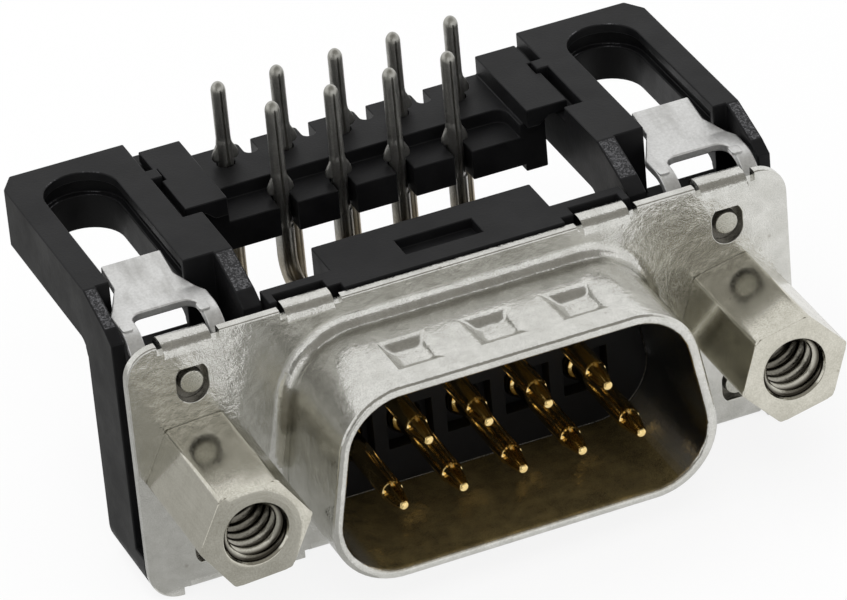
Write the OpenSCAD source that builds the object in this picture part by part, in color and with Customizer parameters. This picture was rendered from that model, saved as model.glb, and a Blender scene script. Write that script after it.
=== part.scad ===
// Nine way right angle D-sub plug: folded steel shell, jack standoffs, ground straps and board brackets.
// Shown board side up with the mating face towards -Y. All sizes in millimetres.
// Origin: centre of the flange front face, on the axis of the mating shell.

/* [Flange] */
// Flange end beyond a jack screw axis
screw_edge = 2.91; // [2.85:0.01:3]
// Flange height
flange_h = 12.55; // [12.45:0.01:12.65]
// Flange corner radius
flange_r = 1.4; // [1.2:0.1:1.6]
// Shell sheet thickness
sheet_t = 0.5; // [0.45:0.01:0.55]
// Clearance hole for a jack screw
screw_hole_d = 3.1; // [3:0.01:3.2]
// Locating hole width in the flange
pilot_d = 1.45; // [1.35:0.01:1.5]
// Locating hole height in the flange
pilot_h = 1.95; // [1.8:0.01:2]
// Diameter of the rear plate's peg in each locating hole
peg_d = 1.06; // [0.95:0.01:1.1]
// Peg end behind the flange front face
peg_y = 0.05; // [0.02:0.01:0.1]
// Locating hole centre inside the flange edge
pilot_set = 2.175; // [2.1:0.025:2.3]
// Flange edge set back between the inner tabs
edge_set = 0.18; // [0.1:0.01:0.25]

/* [Mating shell] */
// Mating shell inside width
shell_w = 16.92; // [16.8:0.01:17]
// Jack screw axis beyond the side of the shell
screw_side = 4.035; // [4:0.005:4.1]
// Mating shell inside height
shell_h = 8.36; // [8.25:0.01:8.45]
// Mating shell inside corner radius
shell_r = 2.6; // [2.4:0.05:2.8]
// Lean of each side of the D
shell_slope = 10; // [9:0.5:11]
// Shell depth in front of the flange
shell_depth = 5.75; // [5.6:0.01:6]
// Radius where the shell meets the flange
root_r = 0.65; // [0.4:0.05:0.8]
// Distance between the pressed dimples
dimple_pitch = 3.85; // [3.6:0.05:3.9]
// Dimple centre in front of the flange
dimple_y = 3.25; // [3:0.05:3.5]
// Dimple width at the surface
dimple_w = 2.05; // [1.8:0.05:2.2]
// Dimple floor width
dimple_floor = 1.3; // [1.1:0.05:1.4]
// Dimple depth
dimple_depth = 0.42; // [0.3:0.01:0.45]

/* [Clinch tabs] */
// Inner tab centre inside the side of the shell
tab_side = 1.56; // [1.5:0.02:1.66]
// Tab width
tab_w = 2.2; // [2:0.05:2.3]
// Tab outer bend radius
tab_r = 0.65; // [0.6:0.01:0.68]
// Height of the folded leg
tab_drop = 1.35; // [1.3:0.01:1.4]
// Tab top below the flange edge
tab_set = 0.08; // [0:0.01:0.15]
// Relief slot width at each side of a tab
relief_w = 0.32; // [0.2:0.01:0.4]
// Relief slot depth
relief_h = 0.42; // [0.35:0.01:0.5]

/* [Rear plate] */
// Rear plate thickness
plate_t = 0.4; // [0.35:0.01:0.45]
// Rear plate end inside the flange end
plate_side = 1.105; // [1:0.005:1.3]

/* [Insulators] */
// Insulator face behind the flange face
face_y = 0.45; // [0.35:0.05:0.6]
// Pin cell width
cell_w = 2.1; // [2:0.05:2.2]
// Pin cell height
cell_h = 2; // [1.8:0.05:2.1]
// Floor of the pin cells behind the flange face
cell_y = 1.2; // [1.1:0.05:1.3]
// Wall round the outer pin cells
seat_wall = 0.5; // [0.4:0.05:0.6]
// Back of the front insulator behind the flange face
seat_y = 1.6; // [1.5:0.05:1.7]
// Rear face of the rear insulator plate
ins_plate_y = 2.1; // [2:0.05:2.4]
// Side of the keyed top block inside an inner tab centre
block_side = 1.75; // [1.6:0.05:1.9]
// Rear face of the top block
block_y = 4.2; // [4:0.05:4.5]
// Top block below the flange edge
block_set = 0.06; // [0:0.01:0.12]
// Key pocket length
key_w = 3.6; // [3.2:0.1:4]
// Key pocket front face
key_y0 = 1.6; // [1.4:0.05:1.8]
// Key pocket rear face
key_y1 = 2.9; // [2.6:0.05:3.2]
// Key pocket depth
key_depth = 0.5; // [0.3:0.05:0.8]
// Contact carrier wall beyond the contact axes
carrier_wall = 1.67; // [1.5:0.01:1.8]
// Rear face of the contact carrier
carrier_y = 6.2; // [5.6:0.1:6.6]

/* [Contacts] */
// Contact pitch along a row
pitch = 2.77; // [2.74:0.01:2.79]
// Distance between the two rows
row_gap = 2.84; // [2.8:0.01:2.88]
// Pin diameter
pin_d = 1.02; // [0.96:0.01:1.06]
// Pin tip in front of the flange face
pin_reach = 5.4; // [5.2:0.05:5.6]
// Tapered tip length
tip_len = 1.35; // [1.2:0.05:1.5]
// Pin tip diameter
tip_d = 0.44; // [0.4:0.02:0.5]
// Taper diameter at the pin shoulder
neck_d = 0.86; // [0.8:0.02:0.9]
// Length of the pin shoulder
shoulder_len = 0.15; // [0.1:0.01:0.2]
// Retention collar diameter
collar_d = 1.5; // [1.4:0.05:1.6]
// Collar front behind the flange face
collar_y = 1.05; // [1:0.05:1.15]
// Length of the collar's round front
collar_lead = 0.25; // [0.15:0.05:0.35]
// Rolled channel diameter behind the insulator
channel_d = 0.86; // [0.8:0.02:0.9]
// Solder tail diameter
tail_d = 0.66; // [0.6:0.01:0.7]
// Tail diameter below the wing tops
tail_root_d = 0.72; // [0.7:0.01:0.74]
// First tail row behind the flange face
tail_y1 = 10.1; // [10:0.05:10.2]
// Bend radius of a contact
bend_r = 1.1; // [0.9:0.05:1.2]
// Solder tail tip above the board face
tail_out = 3.05; // [2.8:0.05:3.2]
// Tail diameter at its rounded end
nose_d = 0.44; // [0.4:0.02:0.5]
// Length of the tapered end of a tail
nose_len = 0.3; // [0.2:0.02:0.36]
// Width of the retaining wings
wing_w = 1.24; // [1.1:0.02:1.3]
// Height of the retaining wings
wing_h = 1.1; // [0.9:0.05:1.2]
// Height of the straight foot of a wing
wing_foot = 0.28; // [0.2:0.02:0.4]
// Wing foot above the organizer
wing_lift = 0.15; // [0.05:0.05:0.2]
// Rounding of a wing's lower corner
wing_r = 0.2; // [0.16:0.02:0.2]
// Sheet thickness of the wings
wing_t = 0.24; // [0.2:0.01:0.3]
// Seam groove width
seam_w = 0.13; // [0.1:0.01:0.16]
// Seam groove depth
seam_h = 0.14; // [0.1:0.01:0.18]

/* [Tail organizer] */
// Rear face of the organizer behind the second tail row
org_back = 1.41; // [1.3:0.01:1.5]
// Ledge of the comb in front of and behind the first tail row
org_ledge_y = 0.9; // [0.85:0.05:0.95]
// Plate top below the board face
org_top_set = 1.05; // [1:0.05:1.1]
// Ledge top below the board face
org_ledge_set = 1.7; // [1.6:0.05:1.75]
// Underside below the board face
org_under_set = 3.15; // [3:0.05:3.3]
// Width of an end block
org_end_w = 1.95; // [1.85:0.05:2.05]
// Gap between an end block and the bracket
org_gap = 0.4; // [0.35:0.01:0.45]
// Front face of an end block in front of the first tail row
org_end_front = 1.4; // [1.3:0.05:1.5]
// End block top below the board face
org_end_set = 0.15; // [0.1:0.01:0.25]
// Rim of the comb beside an end block
org_rim = 0.18; // [0.14:0.02:0.24]
// Rounding of the comb's inner corners
org_corner_r = 0.6; // [0.5:0.05:0.7]
// Underside of an end block's lip below the board face
org_lip_set = 0.675; // [0.65:0.025:0.75]
// Slope of the lip's underside along X
org_ramp = 0.45; // [0.4:0.05:0.55]
// Foot set in from the end block
org_foot_in = 0.9; // [0.8:0.05:0.95]
// Foot underside below the board face
org_foot_set = 3.5; // [3.4:0.05:3.6]
// Rear notch width
notch_w = 0.62; // [0.5:0.02:0.7]
// Rear notch depth
notch_y = 1.15; // [1:0.05:1.2]
// Rounding of the notch corners
notch_r = 0.3; // [0.2:0.02:0.34]

/* [Brackets] */
// Board face above the flange edge
board_set = 0.9; // [0.85:0.05:1]
// Bracket plate thickness
bracket_t = 2.85; // [2.7:0.05:3]
// Rear face of the bracket behind the second tail row
bracket_back = 2.16; // [2.1:0.01:2.3]
// Rear outer corner chamfer along X
corner_x = 0.6; // [0.5:0.05:0.7]
// Rear outer corner chamfer along Y
corner_y = 0.95; // [0.8:0.05:1.1]
// Gap between the bracket and the insulator
ins_gap = 0.14; // [0.1:0.01:0.2]
// Inner face set back beside the organizer
bracket_step = 0.9; // [0.85:0.05:0.95]
// Step of the inner face in front of the organizer
step_gap = 0.75; // [0.6:0.05:0.85]
// Back face of the bracket leg
leg_y = 4.9; // [4.8:0.05:5.1]
// Fillet between leg and plate
leg_fillet = 0.65; // [0.4:0.05:0.8]
// Board screw slot width
slot_w = 3.35; // [3.2:0.05:3.4]
// Wall behind the board screw slot
slot_wall = 1.25; // [1.1:0.05:1.4]
// Groove depth in the slot walls
slot_groove = 0.3; // [0.2:0.05:0.4]
// Groove top below the board face
groove_set = 0.45; // [0.4:0.05:0.6]
// Groove height
groove_h = 0.7; // [0.5:0.05:0.8]
// Inner rail thickness
rail_in = 0.87; // [0.8:0.01:0.95]
// Gap between the strap and the outer rail
strap_gap = 0.105; // [0.08:0.005:0.15]
// Wall behind the strap pocket
pocket_wall = 0.35; // [0.3:0.05:0.5]
// Depth of the strap pocket below the board face
pocket_h = 3.325; // [3.2:0.025:3.4]
// Start of the rail slope
slope_y1 = 4.5; // [4.3:0.05:4.7]
// End of the rail slope
slope_y0 = 2.2; // [2:0.05:2.4]
// Fall of the rail slope
slope_fall = 0.78; // [0.6:0.02:0.9]
// Front face of the rails
rail_y = 1.42; // [1.36:0.02:1.5]
// Height lost at the rail nose
nose_fall = 0.45; // [0.3:0.05:0.6]
// Side gap behind the flange
side_gap = 1; // [0.9:0.05:1.1]
// Lower end of the side gap above the flange edge
gap_foot = 2; // [1.8:0.1:2.2]
// Guide rib width
rib_w = 0.8; // [0.7:0.05:0.9]
// Guide rib centre behind the first tail row
rib_back = 1.9; // [1.8:0.05:2]
// Guide rib height above the inner face
rib_h = 0.5; // [0.42:0.02:0.52]

/* [Ground straps] */
// Strap thickness
strap_t = 0.4; // [0.36:0.01:0.44]
// Strap shoulder below the board face
strap_set = 0.95; // [0.9:0.01:1]
// Rise of the sprung tongue
tongue_rise = 0.6; // [0.5:0.02:0.65]
// Start of the sprung tongue
knee_y = 3.9; // [3.8:0.05:4]
// Rear end of the strap
strap_y = 6.5; // [6.3:0.05:6.7]
// Tongue width
tongue_w = 2.75; // [2.6:0.05:2.85]
// Shoulder width
shoulder_w = 4.4; // [4.2:0.05:4.44]
// Width of the screwed plate
lug_w = 3.9; // [3.7:0.05:4]
// Start of the taper
taper_y1 = 5; // [4.9:0.05:5.1]
// End of the taper
taper_y0 = 3.4; // [3.2:0.05:3.5]
// Outer bend radius
strap_r = 1.6; // [1.5:0.05:1.7]
// Window width
window_w = 2.9; // [2.7:0.05:2.95]
// Rear edge of the window
window_y = 3.1; // [3:0.05:3.2]
// Window corner radius
window_r = 0.55; // [0.4:0.05:0.7]
// Lower end of the strap below the screw axis
lug_z = 2.6; // [2.4:0.1:2.8]

/* [Jack standoffs] */
// Standoff length in front of the flange
jack_len = 6.15; // [6:0.05:6.35]
// Width across flats
jack_af = 4.5; // [4.4:0.05:4.76]
// Turn of the left standoff
jack_turn_left = 3.6; // [0:0.1:30]
// Turn of the right standoff
jack_turn_right = 12.3; // [0:0.1:30]
// Threaded bore diameter
bore_d = 2.4; // [2.2:0.05:2.5]
// Threaded bore depth
bore_len = 5; // [4.5:0.1:5.2]
// Countersink diameter
sink_d = 3.3; // [3:0.05:3.4]
// Depth of the corner chamfer
hex_chamfer = 0.3; // [0.2:0.05:0.4]
// Stud diameter
stud_d = 2.75; // [2.6:0.05:2.8]
// Stud end behind the flange face
stud_y = 5.35; // [5.2:0.05:5.6]
// Nut width across flats
nut_af = 4.76; // [4.6:0.02:4.8]
// Nut thickness
nut_t = 1.8; // [1.6:0.05:2]

/* [Fits] */
// Small clearance between fitted pieces
fit = 0.05; // [0.03:0.01:0.06]

/* [Hidden] */
$fn = 48;
steel = [0.72, 0.71, 0.68];
tin = [0.8, 0.8, 0.79];
gold = [0.83, 0.66, 0.28];
black = [0.13, 0.13, 0.14];
brass_nickel = [0.66, 0.64, 0.6];
cut = 1;
ease = 0.002;
hex_sides = 6;
hex_half = 180 / hex_sides;
sink_angle = 45;
chamfer_angle = 30;
screw_x = shell_w / 2 + screw_side;
flange_w = 2 * (screw_x + screw_edge);
edge_z = flange_h / 2;
pilot_z = edge_z - pilot_set;
tab_in_x = shell_w / 2 - tab_side;
tab_top = edge_z - tab_set;
tab_xs = [-screw_x, -tab_in_x, tab_in_x, screw_x];
plate_y = sheet_t + plate_t;
plate_w = flange_w - 2 * plate_side;
tab_reach = plate_y + fit + sheet_t;
plate_top = tab_top - sheet_t - fit;
ins_half = shell_w / 2 - fit;
block_half = tab_in_x - block_side;
block_top = edge_z - block_set;
board_z = edge_z + board_set;
d_wide = shell_w / 2 - shell_r;
d_rise = shell_h / 2 - shell_r;
d_narrow = d_wide - 2 * d_rise * tan(shell_slope);
d_corners = [[d_narrow, d_rise], [-d_narrow, d_rise], [-d_wide, -d_rise], [d_wide, -d_rise]];
d_turns = [180, 270 - shell_slope, 0, 90 + shell_slope];
shell_out_r = shell_r + sheet_t;
shell_top = shell_h / 2;
low_contacts = 5;
high_contacts = 4;
row_z = row_gap / 2;
row_half = (low_contacts - 1) / 2 * pitch;
seat_half = row_half + cell_w / 2 + seat_wall;
seat_h = row_z + cell_h / 2 + seat_wall;
carrier_half = row_half + carrier_wall;
carrier_h = row_z + carrier_wall;
tail_y2 = tail_y1 + row_gap;
tail_tip = board_z + tail_out;
nose_z = tail_tip - nose_d / 2;
bracket_in_low = ins_half + ins_gap;
bracket_in = bracket_in_low + bracket_step;
bracket_out = flange_w / 2;
bracket_y = tail_y2 + bracket_back;
org_y0 = tail_y1 - org_ledge_y;
org_step_y = tail_y1 + org_ledge_y;
org_y1 = tail_y2 + org_back;
org_end = bracket_in - org_gap;
org_half = org_end - org_end_w;
org_wall = org_half - org_rim;
org_foot = org_end - org_foot_in;
org_end_y = tail_y1 - org_end_front;
org_top = board_z - org_top_set;
org_ledge = board_z - org_ledge_set;
org_under = board_z - org_under_set;
org_end_top = board_z - org_end_set;
org_lip = board_z - org_lip_set;
org_foot_z = board_z - org_foot_set;
bracket_step_y = org_end_y - step_gap;
rib_y = tail_y1 + rib_back;
slot_y = bracket_y - slot_wall;
pocket_in = bracket_in_low + rail_in;
pocket_out = screw_x + shoulder_w / 2 + strap_gap;
pocket_y = leg_y - pocket_wall;
pocket_z = board_z - pocket_h;
under_z = board_z - bracket_t;
strap_back = plate_y + strap_t;
strap_top = board_z - strap_set;

// A flat profile in X and Z, pushed along Y
module along_y(y0, y1) {
    translate([0, y1, 0]) rotate([90, 0, 0]) linear_extrude(height = y1 - y0) children();
}

// A flat profile in Y and Z, pushed along X
module along_x(x0, x1) {
    translate([x0, 0, 0]) rotate([90, 0, 90]) linear_extrude(height = x1 - x0) children();
}

// A block between three pairs of limits
module box(x, y, z) {
    translate([x[0], y[0], z[0]]) cube([x[1] - x[0], y[1] - y[0], z[1] - z[0]]);
}

// A round rod or cone along Y
module rod_y(d1, d2, y0, y1) {
    translate([0, y0, 0]) rotate([-90, 0, 0]) cylinder(d1 = d1, d2 = d2, h = y1 - y0);
}

module rounded_rect(w, h, r) {
    square([w - 2 * r, h], center = true);
    square([w, h - 2 * r], center = true);
    for (x = [-1, 1], z = [-1, 1])
        translate([x * (w / 2 - r), z * (h / 2 - r)]) circle(r = r);
}

// The D outline: four corner circles and the straight sides that join them
module d_profile(r) {
    polygon([for (i = [0 : 3], k = [3, 0])
        d_corners[i] + (r - ease) * [sin(d_turns[(i + k) % 4]), -cos(d_turns[(i + k) % 4])]]);
    for (c = d_corners) translate(c) circle(r = r);
}

// Section of the swept root between shell wall and flange, drawn from the corner centre outwards
module root_section() {
    difference() {
        square([shell_out_r + root_r, root_r]);
        translate([shell_out_r + root_r, root_r]) circle(r = root_r);
    }
}

module shell_root() {
    rotate([90, 0, 0]) {
        for (c = d_corners) translate(c) rotate_extrude() root_section();
        for (i = [0 : 3]) {
            next = d_corners[(i + 1) % 4];
            translate(next) rotate([0, 0, d_turns[i]]) rotate([90, 0, -90])
                linear_extrude(height = norm(next - d_corners[i])) translate([-ease, 0]) root_section();
        }
    }
}

module flange_outline() {
    difference() {
        rounded_rect(flange_w, flange_h, flange_r);
        for (s = [-1, 1]) {
            for (x = tab_xs) translate([x, s * edge_z]) {
                square([tab_w + 2 * relief_w, 2 * relief_h], center = true);
                square([tab_w - 2 * ease, 2 * (tab_set + tab_r)], center = true);
            }
            translate([0, s * edge_z]) square([2 * tab_in_x, 2 * edge_set], center = true);
        }
    }
}

// Section of one tab folded back over the rear plate, top at zero
module tab_section() {
    difference() {
        union() {
            translate([0, -tab_drop]) square([tab_reach, tab_drop - tab_r]);
            translate([tab_r, -tab_r]) square([tab_reach - 2 * tab_r, tab_r]);
            for (y = [tab_r, tab_reach - tab_r]) translate([y, -tab_r]) circle(r = tab_r);
        }
        translate([sheet_t, -tab_drop - cut])
            square([tab_reach - 2 * sheet_t, tab_drop - sheet_t + cut]);
    }
}

// A four sided pit or bump, wide at the top
module dimple(x, top) {
    half = dimple_w / 2;
    low = dimple_floor / 2;
    side = [[-low, -dimple_depth], [low, -dimple_depth], [half, 0], [-half, 0]];
    intersection() {
        along_x(x - half, x + half) translate([-dimple_y, top]) polygon(side);
        along_y(-dimple_y - half, -dimple_y + half) translate([x, top]) polygon(side);
    }
}

module screw_holes(d, y0, y1) {
    for (x = [-screw_x, screw_x]) translate([x, 0, 0]) rod_y(d, d, y0 - cut, y1 + cut);
}

// A flat child at every locating hole
module at_pilots() {
    for (x = [-screw_x, screw_x], z = [-pilot_z, pilot_z]) translate([x, z]) children();
}

module pilot_outline() {
    square([pilot_d - 2 * ease, pilot_h - pilot_d], center = true);
    for (z = [-1, 1]) translate([0, z * (pilot_h - pilot_d) / 2]) circle(d = pilot_d);
}

module front_shell() {
    color(steel) {
        difference() {
            union() {
                difference() {
                    union() {
                        along_y(0, sheet_t) flange_outline();
                        along_y(-shell_depth, 0) d_profile(shell_out_r);
                        shell_root();
                    }
                    along_y(-shell_depth - cut, sheet_t + cut) d_profile(shell_r);
                    screw_holes(screw_hole_d, 0, sheet_t);
                    along_y(-cut, sheet_t + cut) at_pilots() pilot_outline();
                }
                for (i = [-1 : 1]) dimple(i * dimple_pitch, shell_top + fit);
            }
            for (i = [-1 : 1]) dimple(i * dimple_pitch, shell_top + sheet_t + fit);
        }
        for (x = tab_xs) {
            along_x(x - tab_w / 2, x + tab_w / 2) translate([0, tab_top]) tab_section();
            mirror([0, 0, 1])
                along_x(x - tab_w / 2, x + tab_w / 2) translate([0, tab_top]) tab_section();
        }
    }
}

// Flat plate clinched behind the flange, with a pressed peg in each locating hole
module rear_plate() {
    color(steel) {
        difference() {
            along_y(sheet_t, plate_y) difference() {
                rounded_rect(plate_w, 2 * plate_top, flange_r);
                d_profile(shell_r);
            }
            screw_holes(screw_hole_d, sheet_t, plate_y);
        }
        along_y(peg_y, (sheet_t + plate_y) / 2) at_pilots() circle(d = peg_d);
    }
}

function contact_x(i, n) = (i - (n - 1) / 2) * pitch;

// A flat child on every contact axis
module at_contacts() {
    for (i = [0 : low_contacts - 1]) translate([contact_x(i, low_contacts), -row_z]) children();
    for (i = [0 : high_contacts - 1]) translate([contact_x(i, high_contacts), row_z]) children();
}

// D shaped block in the root of the shell, with a cell round each pin and a seat in the rear insulator
module front_insulator() {
    color(black) difference() {
        union() {
            along_y(face_y, plate_y) d_profile(shell_r - fit);
            box([-seat_half, seat_half], [plate_y - fit, seat_y], [-seat_h, seat_h]);
        }
        along_y(face_y - cut, cell_y) at_contacts() square([cell_w, cell_h], center = true);
        along_y(face_y, seat_y + cut) at_contacts() circle(d = collar_d + 2 * fit);
    }
}

module rear_insulator() {
    color(black) difference() {
        union() {
            box([-ins_half, ins_half], [plate_y, ins_plate_y], [-block_top, block_top]);
            box([-block_half, block_half], [plate_y, block_y], [0, block_top]);
            box([-block_half, block_half], [sheet_t, plate_y], [plate_top + fit, block_top]);
            box([-carrier_half, carrier_half], [plate_y, carrier_y], [-carrier_h, carrier_h]);
        }
        box([-key_w, key_w] / 2, [key_y0, key_y1], [block_top - key_depth, block_top + cut]);
        for (s = [-1, 1], x = [-tab_in_x, tab_in_x]) {
            deep = edge_z - tab_drop - tab_set - fit;
            box([x - tab_w / 2 - fit, x + tab_w / 2 + fit], [0, tab_reach + fit],
                s > 0 ? [deep, edge_z + cut] : [-edge_z - cut, -deep]);
        }
        box([-seat_half - fit, seat_half + fit], [plate_y - cut, seat_y], [-seat_h - fit, seat_h + fit]);
        along_y(plate_y, ins_plate_y + fit) at_contacts() circle(d = collar_d + 2 * fit);
        along_y(plate_y, carrier_y + cut) at_contacts() circle(d = channel_d + 2 * fit);
    }
}

// Outline of the two wings, from a round foot up to the tail
module wing_outline() {
    side = wing_w / 2;
    edge = side - ease;
    polygon([[wing_r - side, ease], [side - wing_r, ease], [edge, wing_r], [edge, wing_foot],
        [tail_d / 2, wing_h], [-tail_d / 2, wing_h], [-edge, wing_foot], [-edge, wing_r]]);
    for (x = [-1, 1]) translate([x * (side - wing_r), wing_r]) circle(r = wing_r);
}

// One contact: pin, collar, rolled channel, bend, wings and solder tail
module contact(x, z, tail_y, foot) {
    color(gold) translate([x, 0, 0]) {
        translate([0, 0, z]) {
            translate([0, tip_d / 2 - pin_reach, 0]) sphere(d = tip_d);
            rod_y(tip_d, neck_d, tip_d / 2 - pin_reach, tip_len - pin_reach);
            rod_y(neck_d, pin_d, tip_len - pin_reach, tip_len + shoulder_len - pin_reach);
            rod_y(pin_d, pin_d, tip_len + shoulder_len - pin_reach, collar_y - collar_lead);
            rod_y(pin_d, collar_d, collar_y - collar_lead, collar_y);
            rod_y(collar_d, collar_d, collar_y, ins_plate_y);
            rod_y(channel_d, channel_d, ins_plate_y, tail_y - bend_r);
        }
        translate([0, tail_y - bend_r, z + bend_r]) rotate([0, 90, 0])
            rotate_extrude(angle = 90) translate([bend_r, 0]) circle(d = channel_d);
    }
    color(tin) translate([x, 0, 0]) {
        difference() {
            union() {
                translate([0, tail_y, z + bend_r])
                    cylinder(d = channel_d, h = org_under - fit - z - bend_r);
                translate([0, tail_y, org_under - 2 * fit])
                    cylinder(d = tail_root_d, h = foot + wing_h - org_under + 2 * fit);
                translate([0, tail_y, foot]) cylinder(d = tail_d, h = nose_z - nose_len - foot);
                translate([0, tail_y, nose_z - nose_len]) cylinder(d1 = tail_d, d2 = nose_d, h = nose_len);
                translate([0, tail_y, nose_z]) sphere(d = nose_d);
                along_y(tail_y - wing_t / 2, tail_y + wing_t / 2)
                    translate([0, foot]) wing_outline();
            }
            box([-seam_w, seam_w] / 2, [tail_y - tail_d, tail_y - tail_d / 2 + seam_h],
                [foot, tail_tip - tail_d]);
        }
    }
}

module low_contact(i) {
    contact(contact_x(i, low_contacts), -row_z, tail_y2, org_top + wing_lift);
}

module high_contact(i) {
    contact(contact_x(i, high_contacts), row_z, tail_y1, org_ledge + wing_lift);
}

module contact_1() { low_contact(0); }
module contact_2() { low_contact(1); }
module contact_3() { low_contact(2); }
module contact_4() { low_contact(3); }
module contact_5() { low_contact(4); }
module contact_6() { high_contact(0); }
module contact_7() { high_contact(1); }
module contact_8() { high_contact(2); }
module contact_9() { high_contact(3); }

// Outline of one rear notch with a round floor and one eased corner, mouth at zero
module notch_outline() {
    translate([-notch_w / 2, -notch_y + notch_r]) square([notch_w, notch_y - notch_r + cut]);
    translate([0, -notch_y + notch_w / 2]) circle(d = notch_w);
    difference() {
        translate([-notch_w / 2 - notch_r, -notch_r]) square([notch_w + notch_r, notch_r + cut]);
        translate([-notch_w / 2 - notch_r, -notch_r]) circle(r = notch_r);
    }
}

// Comb that keeps the solder tails on their board grid
module tail_organizer() {
    hole = tail_root_d + 2 * fit;
    color(black) difference() {
        union() {
            box([-org_half, org_half], [org_step_y, org_y1], [org_under, org_top]);
            box([-org_half, org_half], [org_y0, org_y1], [org_under, org_ledge]);
            for (s = [0, 1]) mirror([s, 0, 0]) {
                along_y(org_end_y, org_y1)
                    polygon([[org_half, org_top], [org_foot - org_ramp, org_top], [org_foot, org_lip],
                        [org_end, org_lip], [org_end, org_end_top], [org_half, org_end_top]]);
                box([org_half, org_foot], [org_y0, org_y1], [org_foot_z, org_lip]);
                box([org_wall, org_half + fit], [org_y0, org_step_y + fit], [org_ledge - fit, org_top]);
                translate([org_wall - org_corner_r, org_step_y - org_corner_r, org_ledge - fit])
                    linear_extrude(height = org_top - org_ledge + fit) difference() {
                        square(org_corner_r + fit);
                        circle(r = org_corner_r);
                    }
            }
        }
        for (i = [0 : low_contacts - 1])
            translate([contact_x(i, low_contacts), tail_y2, org_under - cut])
                cylinder(d = hole, h = org_top - org_under + 2 * cut);
        for (i = [0 : high_contacts - 1]) translate([contact_x(i, high_contacts), 0, org_under - cut]) {
            translate([0, tail_y1, 0]) cylinder(d = hole, h = org_top - org_under + 2 * cut);
            box([-hole, hole] / 2, [org_y0 - cut, tail_y1], [0, org_top - org_under + 2 * cut]);
            translate([0, org_y1, 0])
                linear_extrude(height = org_top - org_under + 2 * cut) notch_outline();
        }
        for (s = [0, 1]) mirror([s, 0, 0])
            box([bracket_in - rib_h - 2 * fit, org_end + cut],
                [rib_y - rib_w / 2 - 2 * fit, rib_y + rib_w / 2 + 2 * fit],
                [org_ledge - cut, org_end_top + cut]);
    }
}

// Leg profile with the lower outer corner rounded like the flange
module leg_outline() {
    width = bracket_out - bracket_in_low;
    height = edge_z + under_z + leg_fillet;
    translate([bracket_in_low, -edge_z]) square([width - flange_r, height]);
    translate([bracket_in_low, flange_r - edge_z]) square([width, height - flange_r]);
    translate([bracket_out - flange_r, flange_r - edge_z]) circle(r = flange_r);
}

// Outline of the board screw slot, from the back of the leg to its round end
module slot_outline(grow) {
    translate([screw_x - slot_w / 2 - grow, leg_y])
        square([slot_w + 2 * grow, slot_y - slot_w / 2 - leg_y]);
    translate([screw_x, slot_y - slot_w / 2]) circle(d = slot_w + 2 * grow);
}

module hex_outline(af) {
    circle(d = af / cos(hex_half), $fn = hex_sides);
}

// Board bracket of the +X side: slotted plate, leg behind the flange, strap pocket and sloped rails
module bracket() {
    nose_z = board_z - slope_fall - nose_fall;
    difference() {
        union() {
            translate([0, 0, under_z]) linear_extrude(height = bracket_t)
                polygon([[bracket_in_low, rail_y], [bracket_out, rail_y],
                    [bracket_out, bracket_y - corner_y], [bracket_out - corner_x, bracket_y],
                    [bracket_in, bracket_y], [bracket_in, bracket_step_y],
                    [bracket_in_low, bracket_step_y]]);
            along_y(strap_back, leg_y) leg_outline();
            along_x(bracket_in_low, bracket_out) difference() {
                translate([leg_y, under_z - leg_fillet]) square([leg_fillet, leg_fillet]);
                translate([leg_y + leg_fillet, under_z - leg_fillet]) circle(r = leg_fillet);
            }
            along_y(sheet_t, strap_back) intersection() {
                leg_outline();
                translate([plate_w / 2 + fit, -edge_z]) square([bracket_out, gap_foot]);
            }
            box([bracket_in_low, bracket_in + fit], [bracket_step_y - fit, bracket_y],
                [under_z, org_lip - fit]);
            box([bracket_in - rib_h, bracket_in + fit],
                [rib_y - rib_w / 2, rib_y + rib_w / 2], [under_z, board_z]);
        }
        translate([0, 0, under_z - cut]) linear_extrude(height = bracket_t + 2 * cut) slot_outline(0);
        translate([0, 0, board_z - groove_set - groove_h])
            linear_extrude(height = groove_h) slot_outline(slot_groove);
        box([screw_x - slot_w / 2, screw_x + slot_w / 2], [0, leg_y + leg_fillet],
            [pocket_z, board_z + cut]);
        box([pocket_in, pocket_out], [0, pocket_y], [pocket_z, board_z + cut]);
        along_x(bracket_in_low - cut, bracket_out + cut)
            polygon([[slope_y1, board_z + cut], [rail_y - cut, board_z + cut], [rail_y - cut, nose_z],
                [rail_y, nose_z], [slope_y0, board_z - slope_fall], [slope_y1, board_z]]);
        box([plate_w / 2, bracket_out + cut], [0, sheet_t + side_gap],
            [gap_foot - edge_z, board_z + cut]);
        box([screw_x - tab_w / 2 - fit, screw_x + tab_w / 2 + fit], [0, tab_reach + fit],
            [-edge_z - cut, tab_drop + tab_set + fit - edge_z]);
        translate([screw_x, 0, 0]) {
            rod_y(screw_hole_d, screw_hole_d, 0, leg_y);
            along_y(leg_y - nut_t, leg_y + cut) rotate(hex_half) hex_outline(nut_af + 2 * fit);
        }
    }
}

module bracket_left() {
    color(black) mirror([1, 0, 0]) bracket();
}

module bracket_right() {
    color(black) bracket();
}

// Section of the strap in Y and Z: tongue, bend and screwed plate
module strap_section() {
    cy = plate_y + strap_r;
    cz = strap_top - strap_r;
    translate([cy, strap_top - strap_t]) square([knee_y - cy, strap_t]);
    polygon([[knee_y, strap_top - strap_t], [strap_y, strap_top - strap_t + tongue_rise],
        [strap_y, strap_top + tongue_rise], [knee_y, strap_top]]);
    translate([plate_y, -lug_z]) square([strap_t, cz + lug_z]);
    difference() {
        translate([cy, cz]) circle(r = strap_r);
        translate([cy, cz]) circle(r = strap_r - strap_t);
        translate([cy, cz - strap_r - cut]) square([strap_r + cut, 2 * (strap_r + cut)]);
        translate([cy - strap_r - cut, cz - strap_r - cut])
            square([2 * (strap_r + cut), strap_r + cut]);
    }
}

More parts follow.
